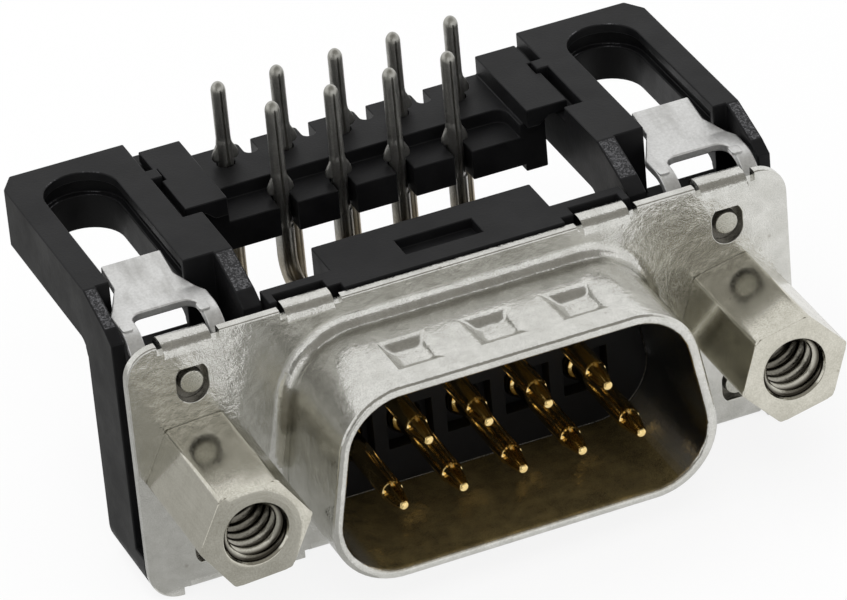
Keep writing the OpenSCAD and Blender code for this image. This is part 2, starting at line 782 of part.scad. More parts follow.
// Ground strap of the +X side
module ground_strap() {
    t = tongue_w / 2;
    s = shoulder_w / 2;
    g = lug_w / 2;
    w = window_w / 2;
    window_foot = tab_top - tab_drop - 2 * fit;
    hip_z = strap_top - strap_r / 2;
    translate([screw_x, 0, 0]) difference() {
        intersection() {
            along_x(-s, s) strap_section();
            translate([0, 0, -lug_z - cut]) linear_extrude(height = board_z + lug_z + 2 * cut)
                polygon([[-t, strap_y], [-t, taper_y1], [-s, taper_y0], [-s, 0],
                    [s, 0], [s, taper_y0], [t, taper_y1], [t, strap_y]]);
            along_y(0, strap_y + cut)
                polygon([[-g, -lug_z - cut], [g, -lug_z - cut], [g, window_foot], [s, hip_z],
                    [s, board_z], [-s, board_z], [-s, hip_z], [-g, window_foot]]);
        }
        translate([0, 0, window_foot]) linear_extrude(height = strap_r + 2 * cut) {
            translate([-w, -cut]) square([window_w, window_y - window_r + cut]);
            translate([window_r - w, -cut]) square([window_w - 2 * window_r, window_y + cut]);
            for (x = [-1, 1])
                translate([x * (w - window_r), window_y - window_r]) circle(r = window_r);
        }
        rod_y(screw_hole_d, screw_hole_d, 0, strap_back + cut);
    }
}

module ground_strap_left() {
    color(tin) mirror([1, 0, 0]) ground_strap();
}

module ground_strap_right() {
    color(tin) ground_strap();
}

// Hex standoff with a threaded mouth, chamfered corners and a threaded stud behind the flange
module jack_standoff(turn) {
    corner = jack_af / 2 / cos(hex_half);
    face_r = corner - hex_chamfer / tan(chamfer_angle);
    sink = (sink_d - bore_d) / 2 * tan(sink_angle);
    difference() {
        union() {
            intersection() {
                along_y(-jack_len, 0) rotate(turn) hex_outline(jack_af);
                union() {
                    rod_y(2 * face_r, 2 * corner + fit, -jack_len, hex_chamfer + fit - jack_len);
                    rod_y(2 * corner + fit, 2 * corner + fit, hex_chamfer + fit - jack_len, 0);
                }
            }
            rod_y(stud_d, stud_d, -fit, stud_y);
        }
        rod_y(bore_d, bore_d, -jack_len - cut, bore_len - jack_len);
        rod_y(sink_d, bore_d, -jack_len, sink - jack_len);
    }
}

module jack_standoff_left() {
    color(brass_nickel) translate([-screw_x, 0, 0]) jack_standoff(jack_turn_left);
}

module jack_standoff_right() {
    color(brass_nickel) translate([screw_x, 0, 0]) jack_standoff(jack_turn_right);
}

// Small nut captive in the back of a bracket leg
module jack_nut(x) {
    color(brass_nickel) translate([x, 0, 0]) difference() {
        along_y(leg_y - nut_t, leg_y) rotate(hex_half) hex_outline(nut_af);
        rod_y(stud_d + 2 * fit, stud_d + 2 * fit, leg_y - nut_t - cut, leg_y + cut);
    }
}

module jack_nut_left() {
    jack_nut(-screw_x);
}

module jack_nut_right() {
    jack_nut(screw_x);
}

front_shell();
rear_plate();
front_insulator();
rear_insulator();
contact_1();
contact_2();
contact_3();
contact_4();
contact_5();
contact_6();
contact_7();
contact_8();
contact_9();
tail_organizer();
bracket_left();
bracket_right();
ground_strap_left();
ground_strap_right();
jack_standoff_left();
jack_standoff_right();
jack_nut_left();
jack_nut_right();
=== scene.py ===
"""Nine way right angle D-sub plug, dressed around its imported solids.

Sizes are in millimetres until a mesh is laid, and the frame is the CAD frame: X along the flange, -Y out of the
mating face, +Z towards the circuit board.
"""

import math

import bmesh
import bpy
import numpy as np
from mathutils import Matrix, Vector


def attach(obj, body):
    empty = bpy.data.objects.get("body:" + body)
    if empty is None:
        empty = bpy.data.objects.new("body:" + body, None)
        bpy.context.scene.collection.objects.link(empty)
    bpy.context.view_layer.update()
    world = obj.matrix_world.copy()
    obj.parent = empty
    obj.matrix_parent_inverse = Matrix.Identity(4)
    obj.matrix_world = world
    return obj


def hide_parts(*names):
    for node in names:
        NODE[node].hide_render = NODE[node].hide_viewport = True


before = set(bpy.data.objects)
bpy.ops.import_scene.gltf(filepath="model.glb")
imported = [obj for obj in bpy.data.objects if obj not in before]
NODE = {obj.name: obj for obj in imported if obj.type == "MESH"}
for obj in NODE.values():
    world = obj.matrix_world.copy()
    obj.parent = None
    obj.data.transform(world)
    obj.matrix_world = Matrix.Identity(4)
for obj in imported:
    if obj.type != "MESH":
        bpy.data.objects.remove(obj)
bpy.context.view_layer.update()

MM = 0.001
TURN = 2.0 * math.pi

# Shared places of the plug
SCREW_X = 12.495
FLOOR_Z = -6.275
PITCH = 2.77
ROW_Z = 1.42
LOW_COUNT = 5
CONTACT_COUNT = 9
TAIL_FRONT_Y = 10.1
TAIL_REAR_Y = 12.94
WING_FRONT_Z = 5.625
WING_REAR_Z = 6.275
TAIL_TIP_Z = 10.225


# Meshes

def lay_mesh(name, points, faces):
    """Points in millimetres and lists of corner numbers become a mesh object at the origin."""
    mesh = bpy.data.meshes.new(name)
    mesh.from_pydata((points * MM).tolist(), [], faces)
    mesh.validate()
    piece = bpy.data.objects.new(name, mesh)
    bpy.context.scene.collection.objects.link(piece)
    return piece


def ring_shell(rings, first, last):
    """Rings (count, around, 3) are joined ring to ring, closed around, and shut by a fan to one pole at each end.

    The signed volume, a sixth of the sum of a.(b x c) over the triangles, tells whether the faces look outwards.
    """
    count, around, _ = rings.shape
    points = np.concatenate([rings.reshape(-1, 3), [first, last]])
    row, col = np.meshgrid(np.arange(count - 1), np.arange(around), indexing="ij")
    side = (col + 1) % around
    quads = np.stack([row * around + col, row * around + side,
                      (row + 1) * around + side, (row + 1) * around + col], -1).reshape(-1, 4)
    edge = np.arange(around)
    beside = (edge + 1) % around
    tail = (count - 1) * around
    fans = np.concatenate([
        np.stack([np.full(around, count * around), beside, edge], -1),
        np.stack([np.full(around, count * around + 1), tail + edge, tail + beside], -1)])
    halves = np.concatenate([quads[:, [0, 1, 2]], quads[:, [0, 2, 3]], fans])
    a, b, c = (points[halves[:, k]] - points.mean(0) for k in range(3))
    if np.einsum("ij,ij->", a, np.cross(b, c)) < 0:
        quads, fans = quads[:, ::-1], fans[:, ::-1]
    return points, quads, fans


def smooth(piece, crease):
    """Smooth shading with edges kept sharp past the crease angle."""
    piece.data.shade_smooth()
    piece.data.set_sharp_from_angle(angle=math.radians(crease))


def lay_shells(name, shells, crease):
    """Closed shells laid as one mesh, smooth but for edges past the crease angle."""
    points, faces, start = [], [], 0
    for spots, quads, fans in shells:
        points.append(spots)
        faces += (quads + start).tolist() + (fans + start).tolist()
        start += len(spots)
    piece = lay_mesh(name, np.concatenate(points), faces)
    smooth(piece, crease)
    return piece


def wear(piece, finish):
    """The piece rides on the part's root body, with its finish."""
    piece.data.materials.clear()
    piece.data.materials.append(finish)
    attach(piece, "root")


def stand_for(piece, node, finish):
    """The piece takes the node's place."""
    wear(piece, finish)
    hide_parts(node)


def edge_turns(mesh):
    """Angle in degrees between the two faces at each edge, and each edge's middle in millimetres."""
    edge_of = np.empty(len(mesh.loops), int)
    mesh.loops.foreach_get("edge_index", edge_of)
    corners = np.empty(len(mesh.polygons), int)
    mesh.polygons.foreach_get("loop_total", corners)
    normal = np.empty(3 * len(corners))
    mesh.polygons.foreach_get("normal", normal)
    face_of = np.repeat(np.arange(len(corners)), corners)
    order = np.argsort(edge_of, kind="stable")
    first = np.searchsorted(edge_of[order], np.arange(len(mesh.edges)))
    last = np.searchsorted(edge_of[order], np.arange(len(mesh.edges)), side="right") - 1
    a, b = (normal.reshape(-1, 3)[face_of[order[k]]] for k in (first, last))
    place = np.empty(3 * len(mesh.vertices))
    mesh.vertices.foreach_get("co", place)
    ends = np.empty(2 * len(mesh.edges), int)
    mesh.edges.foreach_get("vertices", ends)
    middle = place.reshape(-1, 3)[ends.reshape(-1, 2)].mean(1) / MM
    return np.degrees(np.arccos(np.clip(np.einsum("ij,ij->i", a, b), -1.0, 1.0))), middle


EDGE_CREASE, FLAT_WITHIN = 11.0, 0.4
FLAT_WEIGHT = 100
WELD, SHEET_WELD = 0.0002, 0.004


def ease_edges(node, name, finish, width, steps=2, share_of=None, weld=WELD):
    """A merged copy of a CAD node takes its place, its sharp edges rounded by a Bevel and its normals weighted to
    the flats.

    Points within the weld distance are merged, and faces within a small angle of each other joined. Every edge past
    the crease angle is eased by the width, times the share that share_of gives for its middle.
    """
    mesh = NODE[node].data.copy()
    mesh.name = name
    work = bmesh.new()
    work.from_mesh(mesh)
    bmesh.ops.remove_doubles(work, verts=work.verts, dist=weld * MM)
    bmesh.ops.dissolve_degenerate(work, edges=work.edges, dist=weld * MM)
    bmesh.ops.dissolve_limit(work, angle_limit=math.radians(FLAT_WITHIN), verts=work.verts, edges=work.edges)
    work.to_mesh(mesh)
    work.free()
    piece = bpy.data.objects.new(name, mesh)
    bpy.context.scene.collection.objects.link(piece)
    smooth(piece, EDGE_CREASE)
    turns, middle = edge_turns(mesh)
    share = np.ones(len(turns)) if share_of is None else share_of(middle)
    weight = mesh.attributes.new("bevel_weight_edge", "FLOAT", "EDGE")
    weight.data.foreach_set("value", np.where(turns > EDGE_CREASE, share / share.max(), 0.0).astype(np.float32))
    bevel = piece.modifiers.new("eased_edges", "BEVEL")
    bevel.width = width * share.max() * MM
    bevel.segments = steps
    bevel.limit_method = "WEIGHT"
    bevel.use_clamp_overlap = False
    bevel.harden_normals = True
    flats = piece.modifiers.new("flat_normals", "WEIGHTED_NORMAL")
    flats.weight = FLAT_WEIGHT
    flats.keep_sharp = True
    stand_for(piece, node, finish)


def soft_step(x, low, high):
    """Smooth rise from 0 at low to 1 at high."""
    t = np.clip((x - low) / (high - low), 0.0, 1.0)
    return t * t * (3.0 - 2.0 * t)


def dome(x, start, end):
    """Quarter circle rise from 0 at start to 1 at end."""
    t = np.clip((x - start) / (end - start), 0.0, 1.0)
    return np.sqrt(1.0 - (1.0 - t) ** 2)


def soft_min(a, b, blend):
    """Smaller of two values with a rounded join: minus blend times the log of the summed exponentials."""
    low = np.minimum(a, b)
    return low - blend * np.log(np.exp((low - a) / blend) + np.exp((low - b) / blend))


def squarish(angle, power):
    """Cosine and sine of a loop pulled towards a square: each to a power below one, with its sign kept."""
    c, s = np.cos(angle), np.sin(angle)
    return np.sign(c) * np.abs(c) ** power, np.sign(s) * np.abs(s) ** power


HEX_POWER = 55.0


def hex_radius(theta, flat, turn):
    """Polar radius of a hexagon with eased corners: flat over the root of the summed powers of the six face
    cosines."""
    faces = np.radians(turn + 30.0 + 60.0 * np.arange(6))
    lean = np.clip(np.cos(theta[..., None] - faces), 0.0, None)
    return flat / np.power(np.power(lean, HEX_POWER).sum(-1), 1.0 / HEX_POWER)


def spin_y(centre_x, radius, y, theta):
    """Points at a radius and angle about an axis along Y through (centre_x, 0)."""
    return np.stack([centre_x + radius * np.cos(theta), np.broadcast_to(y, radius.shape),
                     radius * np.sin(theta)], -1)


# Turned pieces

TURNED_AROUND, TURNED_CREASE = 216, 35.0
HEX_BLEND, PAST_HEX = 0.01, 9.0
JACK_FLAT = 2.25
JACK_FRONT = -6.15
JACK_CORNER_R = 2.48
JACK_CHAMFER = math.tan(math.radians(30.0))
STUD_END = 5.35
STUD_ROOT_R, STUD_CREST = 1.13, 0.24
THREAD_LEAD = 0.635
MOUTH_R, MOUTH_DEPTH = 1.5, 0.16
BORE_R, BORE_CREST = 1.4, 0.27
BORE_END = -1.5


def thread_wave(y, theta):
    """Height 0 to 1 of a rounded thread: a softened triangle wave of the turn plus travel over the lead."""
    phase = (y / THREAD_LEAD + theta / TURN) % 1.0
    return soft_step(1.0 - np.abs(2.0 * phase - 1.0), 0.16, 0.86)


def jack_standoff(name, centre_x, turn):
    """One polar grid: rings run from the stud end along the thread, out over the seat, along the hex, over the
    chamfer and front face, down the mouth and threaded bore to its drill point.

    A ring's radius is its own plus its crest times the thread wave, and on the hex the smaller of its own, which is a
    cone at the chamfers, and the hexagon's.
    """
    theta = np.radians(turn) + np.linspace(0.0, TURN, TURNED_AROUND, endpoint=False)
    bands = []

    def band(y, r, crest=0.0, hexed=False, inset=0.0):
        """Rings at places along Y, with a radius, crest and inset each."""
        y, r, inset = np.broadcast_arrays(*(np.asarray(v, float) for v in (y, r, inset)))
        grid_y, grid_t = np.meshgrid(y, theta, indexing="ij")
        radius = r[:, None] + np.asarray(crest)[..., None] * thread_wave(grid_y, grid_t)
        if hexed:
            radius = soft_min(radius, hex_radius(grid_t, JACK_FLAT, turn), HEX_BLEND)
        bands.append(spin_y(centre_x, radius - inset[:, None], grid_y, grid_t))

    # Stud end, thread, neck and seat
    band([STUD_END, STUD_END, 5.22], [0.5, 1.02, 1.14])
    stud = np.linspace(5.2, 0.6, 92)
    band(stud, STUD_ROOT_R, np.full_like(stud, STUD_CREST))
    band([0.52, 0.02, 0.0], [1.3, 1.3, 1.32])
    band([0.0, 0.0], [1.5, 1.9])

    # Hex between two chamfers
    band([0.0, -0.012, -0.04], JACK_CORNER_R, hexed=True, inset=[0.04, 0.012, 0.0])
    rise = np.linspace(-0.06, -0.2, 6)
    band(rise, JACK_CORNER_R - rise / JACK_CHAMFER, hexed=True)
    band(np.linspace(-0.6, -5.5, 8), PAST_HEX, hexed=True)
    nose = np.linspace(-5.7, JACK_FRONT + 0.06, 24)
    band(nose, JACK_CORNER_R + (nose - JACK_FRONT) / JACK_CHAMFER, hexed=True)
    band(JACK_FRONT + np.array([0.04, 0.012, 0.0]), JACK_CORNER_R, hexed=True, inset=[0.0, 0.012, 0.04])

    # Front face, mouth, threaded bore and drill point
    band(np.full(3, JACK_FRONT), [1.95, 1.75, MOUTH_R + 0.02])
    mouth = np.linspace(JACK_FRONT + 0.012, JACK_FRONT + MOUTH_DEPTH, 6)
    band(mouth, MOUTH_R + (BORE_R - MOUTH_R) * (mouth - JACK_FRONT) / MOUTH_DEPTH)
    depth = np.linspace(JACK_FRONT + MOUTH_DEPTH + 0.02, BORE_END, 230)
    band(depth, BORE_R, -BORE_CREST * soft_step(depth, depth[0], depth[0] + 0.3))
    band([-1.4, -1.15, -0.95, -0.75], [1.08, 1.06, 0.75, 0.3])
    shell = ring_shell(np.concatenate(bands), (centre_x, STUD_END, 0.0), (centre_x, -0.62, 0.0))
    return lay_shells(name, [shell], TURNED_CREASE)


NUT_FRONT, NUT_BACK = 3.1, 4.9
NUT_FLAT, NUT_TURN = 2.38, 30.0
NUT_BORE_R = 1.43
NUT_FACE_R, NUT_CHAMFER = 2.2, 0.36


def jack_nut(name, centre_x):
    """Polar grid carried round as a ring: outside hex with chamfered faces, then back through the bore.

    Outside, the radius is the smaller of the hexagon's and that of a cone at each face.
    """
    around = TURNED_AROUND
    theta = np.radians(NUT_TURN) + np.linspace(0.0, TURN, around, endpoint=False)
    outer = hex_radius(theta, NUT_FLAT, NUT_TURN)
    bore_y = np.linspace(NUT_BACK - 0.12, NUT_FRONT + 0.12, 28)
    slope = np.linspace(0.0, NUT_CHAMFER, 16)
    cone = NUT_FACE_R + slope / JACK_CHAMFER
    y = np.concatenate([[NUT_FRONT, NUT_FRONT], NUT_FRONT + slope, np.linspace(3.6, 4.4, 4),
                        NUT_BACK - slope[::-1], [NUT_BACK, NUT_BACK], bore_y])
    cap = np.concatenate([[1.6, 2.0], cone, np.full(4, PAST_HEX), cone[::-1], [2.0, 1.6],
                          np.full(len(bore_y), NUT_BORE_R)])
    grid_y, grid_t = np.meshgrid(y, theta, indexing="ij")
    points = spin_y(centre_x, soft_min(cap[:, None], outer[None, :], HEX_BLEND), grid_y, grid_t).reshape(-1, 3)
    count = len(y)
    row, col = np.meshgrid(np.arange(count), np.arange(around), indexing="ij")
    side, up = (col + 1) % around, (row + 1) % count
    quads = np.stack([row * around + col, up * around + col, up * around + side, row * around + side], -1)
    piece = lay_mesh(name, points, quads.reshape(-1, 4).tolist())
    work = bmesh.new()
    work.from_mesh(piece.data)
    bmesh.ops.recalc_face_normals(work, faces=work.faces)
    work.to_mesh(piece.data)
    work.free()
    smooth(piece, TURNED_CREASE)
    return piece


# Contacts

CONTACT_CREASE = 42.0
TIP_Y = -5.4
TIP_R, TIP_ROUND_Y = 0.24, -5.22
NECK_R, NECK_Y, TAPER_POWER = 0.44, -4.06, 1.6
PIN_R, SHOULDER_Y = 0.51, -3.86
COLLAR_R, COLLAR_Y0, COLLAR_Y1, COLLAR_BACK = 0.75, 0.8, 1.05, 2.1
CHANNEL_R, ROOT_R, TAIL_R = 0.43, 0.36, 0.33
BEND_R = 1.1
ROOT_Z = 3.97
BULLET, BULLET_FALL, BULLET_ROUND = 0.5, 2.4, 0.6
TIP_FOLD = 72.0
WING_RISE, WING_REACH, WING_ROUND, WING_HALF_T, WING_SQUARE = 1.1, 0.62, 0.2, 0.12, 0.55


def pin_radius(y):
    """Round tip, full taper, domed shoulder, plain pin, domed collar, then the rolled channel."""
    tip = TIP_R * dome(y, TIP_Y, TIP_ROUND_Y)
    way = np.clip((y - TIP_ROUND_Y) / (NECK_Y - TIP_ROUND_Y), 0.0, 1.0)
    taper = TIP_R + (NECK_R - TIP_R) * (1.0 - (1.0 - way) ** TAPER_POWER)
    shoulder = NECK_R + (PIN_R - NECK_R) * dome(y, NECK_Y, SHOULDER_Y)
    collar = PIN_R + (COLLAR_R - PIN_R) * dome(y, COLLAR_Y0, COLLAR_Y1)
    return np.select([y < TIP_ROUND_Y, y < NECK_Y, y < SHOULDER_Y, y < COLLAR_Y0, y < COLLAR_BACK],
                     [tip, taper, shoulder, PIN_R, collar], CHANNEL_R)


def tail_radius(z, wing_z):
    """Channel, root and tail, ending in a bullet nose, whose radius is a power of one less a power of the way."""
    nose = np.clip((z - (TAIL_TIP_Z - BULLET)) / BULLET, 0.0, 1.0)
    plain = np.interp(z, [ROOT_Z - 0.02, ROOT_Z, wing_z + 0.9, wing_z + WING_RISE],
                      [CHANNEL_R, ROOT_R, ROOT_R, TAIL_R])
    return plain * np.power(1.0 - nose ** BULLET_FALL, BULLET_ROUND)


def wing_shell(x, tail_y, foot):
    """Two spread wings as one flat leaf: squarish loops about Z, wide with a round foot and closing on the tail."""
    around = 96
    rise = 0.5 * WING_RISE * (1.0 - np.cos(np.linspace(0.12, math.pi - 0.1, 40)))
    reach = WING_REACH - WING_ROUND + WING_ROUND * dome(rise, 0.0, WING_ROUND)
    reach = reach - (WING_REACH - TAIL_R + 0.03) * soft_step(rise, 0.24, WING_RISE)
    thick = WING_HALF_T * dome(rise, -0.03, 0.12)
    c, s = squarish(np.linspace(0.0, TURN, around, endpoint=False), WING_SQUARE)
    rings = np.stack([x + reach[:, None] * c, tail_y + thick[:, None] * s,
                      np.broadcast_to(foot + rise[:, None], (len(rise), around))], -1)
    return ring_shell(rings, (x, tail_y, foot), (x, tail_y, foot + WING_RISE))


def contact(name, x, z, tail_y, wing_z):
    """A round profile carried along pin, bend and tail, and the leaf of its wings.

    The path runs along +Y at height z, turns up through a quarter circle, and climbs to the tail tip. Its profile
    is polar: a radius per place along it, less a seam groove about the inner side of the bend, which the rolled tip
    has twice more, a fifth of a turn to each side.
    """
    around = 144
    u = np.linspace(-1.0, 1.0, around, endpoint=False)
    phi = 0.5 * math.pi + math.pi * (0.45 * u + 0.55 * u ** 3)
    bend_at = tail_y - BEND_R - TIP_Y
    arc = 0.5 * math.pi * BEND_R
    climb = bend_at + arc - (z + BEND_R)
    end = climb + TAIL_TIP_Z
    root_at, wing_at = climb + ROOT_Z, climb + wing_z

    # Seam: place along the path, depth as a share of the radius, half angle in degrees
    seam = np.array([
        (-5.32, 0.0, 20.0), (-5.1, 0.3, 19.0), (-4.15, 0.34, 13.0), (-3.9, 0.1, 6.0), (-3.7, 0.05, 4.0),
        (0.7, 0.05, 4.0), (0.8, 0.0, 4.0), (2.09, 0.0, 20.0), (2.12, 0.3, 34.0), (tail_y - BEND_R, 0.68, 34.0)])
    seam[:, 0] -= TIP_Y
    seam = np.concatenate([seam, [
        (bend_at + arc, 0.68, 36.0), (root_at - 0.02, 0.68, 36.0), (root_at, 0.5, 22.0), (wing_at, 0.42, 12.0),
        (wing_at + 1.1, 0.42, 9.0), (end - 0.75, 0.4, 8.0), (end - 0.42, 0.1, 7.0), (end - 0.3, 0.0, 7.0)]])

    # Places along the path, close together where the profile changes
    s = np.unique(np.concatenate([
        np.array([TIP_Y + 0.004, TIP_Y + 0.015, TIP_Y + 0.04]) - TIP_Y, np.linspace(TIP_Y + 0.07, -3.8, 46) - TIP_Y,
        np.linspace(0.6, 1.1, 12) - TIP_Y, np.array([COLLAR_BACK - 0.005, COLLAR_BACK, 2.3]) - TIP_Y,
        np.linspace(bend_at - 3.0, bend_at, 6), np.linspace(bend_at, bend_at + arc, 26),
        seam[:, 0], np.linspace(wing_at, wing_at + 1.2, 12),
        end - BULLET * np.power(np.linspace(1.0, 0.05, 22), 2.0)]))
    turn = np.clip((s - bend_at) / BEND_R, 0.0, 0.5 * math.pi)
    centre_y = np.where(s < bend_at, s + TIP_Y, tail_y - BEND_R + BEND_R * np.sin(turn))
    centre_z = np.where(s > bend_at + arc, s - climb, z + BEND_R - BEND_R * np.cos(turn))
    inward_y, inward_z = -np.sin(turn), np.cos(turn)
    radius = np.where(s < bend_at, pin_radius(s + TIP_Y), tail_radius(centre_z, wing_z))

    away = np.degrees(np.abs(phi - 0.5 * math.pi))[None, :]
    at_tip = s[:, None] < NECK_Y - TIP_Y
    away = np.where(at_tip, np.minimum(away, np.abs(away - TIP_FOLD)), away)
    half = np.interp(s, seam[:, 0], seam[:, 2])[:, None]
    groove = 1.0 - soft_step(away, 0.5 * half, half + 2.0)
    ring = radius[:, None] * (1.0 - np.interp(s, seam[:, 0], seam[:, 1])[:, None] * groove)
    across, inner = ring * np.cos(phi), ring * np.sin(phi)
    rings = np.stack([x + across, centre_y[:, None] + inner * inward_y[:, None],
                      centre_z[:, None] + inner * inward_z[:, None]], -1)
    rod = ring_shell(rings, (x, TIP_Y, z), (x, tail_y, TAIL_TIP_Z))
    return lay_shells(name, [rod, wing_shell(x, tail_y, wing_z)], CONTACT_CREASE)


# Coined marks on the straps

BEND_Y, BEND_Z, STRAP_R = 2.5, 4.625, 1.6
MARK_SIDE, MARK_SHIFT, MARK_ANGLE = 1.75, -0.16, math.radians(9.0)
MARK_HALF_X, MARK_HALF_Y = 0.25, 0.3
MARK_SQUARE, MARK_CREASE = 0.45, 30.0


def coined_mark(x):
    """A small flat pad let into the strap's bend: squarish loops that shrink from a sunk foot to a flat top."""
    shrink = np.array([1.0, 1.0, 0.98, 0.93, 0.85, 0.5])
    height = np.array([-0.1, 0.0, 0.018, 0.026, 0.028, 0.028])
    c, s = squarish(np.linspace(0.0, TURN, 64, endpoint=False), MARK_SQUARE)
    top_y = BEND_Y - STRAP_R * math.sin(MARK_ANGLE)
    top_z = BEND_Z + STRAP_R * math.cos(MARK_ANGLE)
    rings = np.stack([x + MARK_HALF_X * shrink[:, None] * c, top_y + MARK_HALF_Y * shrink[:, None] * s,
                      np.broadcast_to(top_z + height[:, None], (len(shrink), len(c)))], -1)
    return ring_shell(rings, (x, top_y, top_z + height[0]), (x, top_y, top_z + height[-1]))


# Shader helpers

def set_input(tree, socket, value):
    """A socket takes a link from another socket, or a plain value."""
    if isinstance(value, bpy.types.NodeSocket):
        tree.links.new(value, socket)
    else:
        socket.default_value = value


def add(tree, kind, values=None, **settings):
    """A shader node with its settings and inputs."""
    node = tree.nodes.new("ShaderNode" + kind)
    for key, value in settings.items():
        setattr(node, key, value)
    for key, value in (values or {}).items():
        set_input(tree, node.inputs[key], value)
    return node


def bare_material(name):
    """A material with an empty node tree, and the tree."""
    finish = bpy.data.materials.new(name)
    finish.use_nodes = True
    finish.node_tree.nodes.clear()
    return finish, finish.node_tree


def new_finish(name):
    """A material with one Principled BSDF."""
    finish, tree = bare_material(name)
    body = add(tree, "BsdfPrincipled")
    add(tree, "OutputMaterial", {"Surface": body.outputs["BSDF"]})
    return finish, tree, body


def new_group(name, inputs, outputs):
    """A shader group with float inputs and outputs, and the sockets to build it between."""
    tree = bpy.data.node_groups.new(name, "ShaderNodeTree")
    for label, value in inputs.items():
        socket = tree.interface.new_socket(name=label, in_out="INPUT", socket_type="NodeSocketFloat")
        socket.default_value = value
    for label in outputs:
        tree.interface.new_socket(name=label, in_out="OUTPUT", socket_type="NodeSocketFloat")
    return tree, tree.nodes.new("NodeGroupInput").outputs, tree.nodes.new("NodeGroupOutput").inputs


def place_group(tree, group, values):
    """What a shared effect puts out for its own values."""
    return add(tree, "Group", values, node_tree=group).outputs


def math_node(tree, operation, first, second=0.0, third=0.0):
    """The result of a Math node."""
    return add(tree, "Math", {0: first, 1: second, 2: third}, operation=operation).outputs[0]


def ramp_range(tree, value, low, high, to_low=0.0, to_high=1.0):
    """A value carried from one range to another and held at the ends."""
    return add(tree, "MapRange", {"Value": value, "From Min": low, "From Max": high, "To Min": to_low,
                                  "To Max": to_high}, clamp=True).outputs["Result"]


def mix_colour(tree, factor, first, second):
    """A colour between two colours."""
    return add(tree, "Mix", {0: factor, 6: first, 7: second}, data_type="RGBA").outputs[2]


def mix_value(tree, factor, first, second):
    """A value between two values."""
    return add(tree, "Mix", {"Factor": factor, "A": first, "B": second}).outputs[0]


def object_place(tree):
    """Object coordinates."""
    return add(tree, "TexCoord").outputs["Object"]


def surface(tree, kind):
    """X, Y and Z of one of the surface's normals."""
    return axes_of(tree, add(tree, "NewGeometry").outputs[kind])


def axes_of(tree, vector):
    """X, Y and Z of a vector."""
    return add(tree, "SeparateXYZ", {"Vector": vector}).outputs


def noise(tree, place, scale, detail, roughness=0.5):
    """Noise about one half."""
    return add(tree, "TexNoise", {"Vector": place, "Scale": scale, "Detail": detail,
                                  "Roughness": roughness}).outputs[0]


def scatter(tree, place, scale):
    """Random cells: the distance to the nearest cell's point, and that cell's own value."""
    cell = add(tree, "TexVoronoi", {"Vector": place, "Scale": scale}).outputs
    return cell["Distance"], add(tree, "SeparateColor", {"Color": cell["Color"]}).outputs[0]


def dress(tree, body, values):
    """The Principled inputs, linked where they vary over the surface and plain where they don't."""
    for key, value in values.items():
        set_input(tree, body.inputs[key], value)


def bump_into(tree, body, height, distance):
    """A Bump on the Principled normal, its distance in millimetres."""
    bump = add(tree, "Bump", {"Strength": 1.0, "Distance": distance * MM, "Height": height})
    tree.links.new(bump.outputs["Normal"], body.inputs["Normal"])


# Shared effects

CELL_SHARE, PATCH_SHARE = 0.6, 0.4


def plating_mottle():
    """Frosty plating: fine cells over cloudy patches. Shade is the patchiness, Height the frost on a slow wave."""
    tree, entry, leave = new_group("plating_mottle", {"Grain": 11000.0, "Cloud": 900.0, "Wave": 0.3},
                                   ("Shade", "Height"))
    place = object_place(tree)
    fine = noise(tree, place, entry["Grain"], 3.0, 0.6)
    cloud = noise(tree, place, entry["Cloud"], 4.0, 0.62)
    patches = ramp_range(tree, cloud, 0.36, 0.66)
    cells = ramp_range(tree, fine, 0.34, 0.66)
    tree.links.new(math_node(tree, "MULTIPLY_ADD", cells, CELL_SHARE,
                             math_node(tree, "MULTIPLY", patches, PATCH_SHARE)), leave["Shade"])
    peaks = ramp_range(tree, fine, 0.52, 0.78)
    tree.links.new(math_node(tree, "MULTIPLY_ADD", cloud, entry["Wave"], peaks), leave["Height"])
    return tree


def handling_marks():
    """Rubs and specks: long thin wipes from stretched noise, and sparse dark dots from the nearest cell distance."""
    tree, entry, leave = new_group("handling_marks", {"Amount": 0.5, "Speck": 1600.0}, ("Rub", "Dot"))
    place = object_place(tree)
    wiped = add(tree, "Mapping", {"Vector": place, "Rotation": (0.3, 0.0, 0.5), "Scale": (1.0, 0.25, 1.0)})
    rub = ramp_range(tree, noise(tree, wiped.outputs[0], 1300.0, 6.0, 0.65), 0.45, 0.72)
    tree.links.new(math_node(tree, "MULTIPLY", rub, entry["Amount"]), leave["Rub"])
    away, rare = scatter(tree, place, entry["Speck"])
    dot = ramp_range(tree, away, 0.05, 0.13, 1.0, 0.0)
    tree.links.new(math_node(tree, "MULTIPLY", dot, ramp_range(tree, rare, 0.62, 0.64)), leave["Dot"])
    return tree


def moulded_grain():
    """Moulded plastic: fine grain for bump, soft flow patches for shade."""
    tree, entry, leave = new_group("moulded_grain", {"Grain": 7000.0, "Flow": 420.0}, ("Shade", "Height"))
    place = object_place(tree)
    flow = noise(tree, place, entry["Flow"], 5.0, 0.6)
    tree.links.new(ramp_range(tree, flow, 0.32, 0.7), leave["Shade"])
    tree.links.new(noise(tree, place, entry["Grain"], 2.0, 0.55), leave["Height"])
    return tree


MOTTLE = plating_mottle()
MARKS = handling_marks()
GRAIN = moulded_grain()


# Finishes

# Reach in height and end across X of the painted reflection of the pins inside the mating shell
PAINTED_REFLECTION_NEAR, PAINTED_REFLECTION_DEEP = 1.5, 3.6
PAINTED_REFLECTION_FULL_X, PAINTED_REFLECTION_END_X = 8.9, 9.1


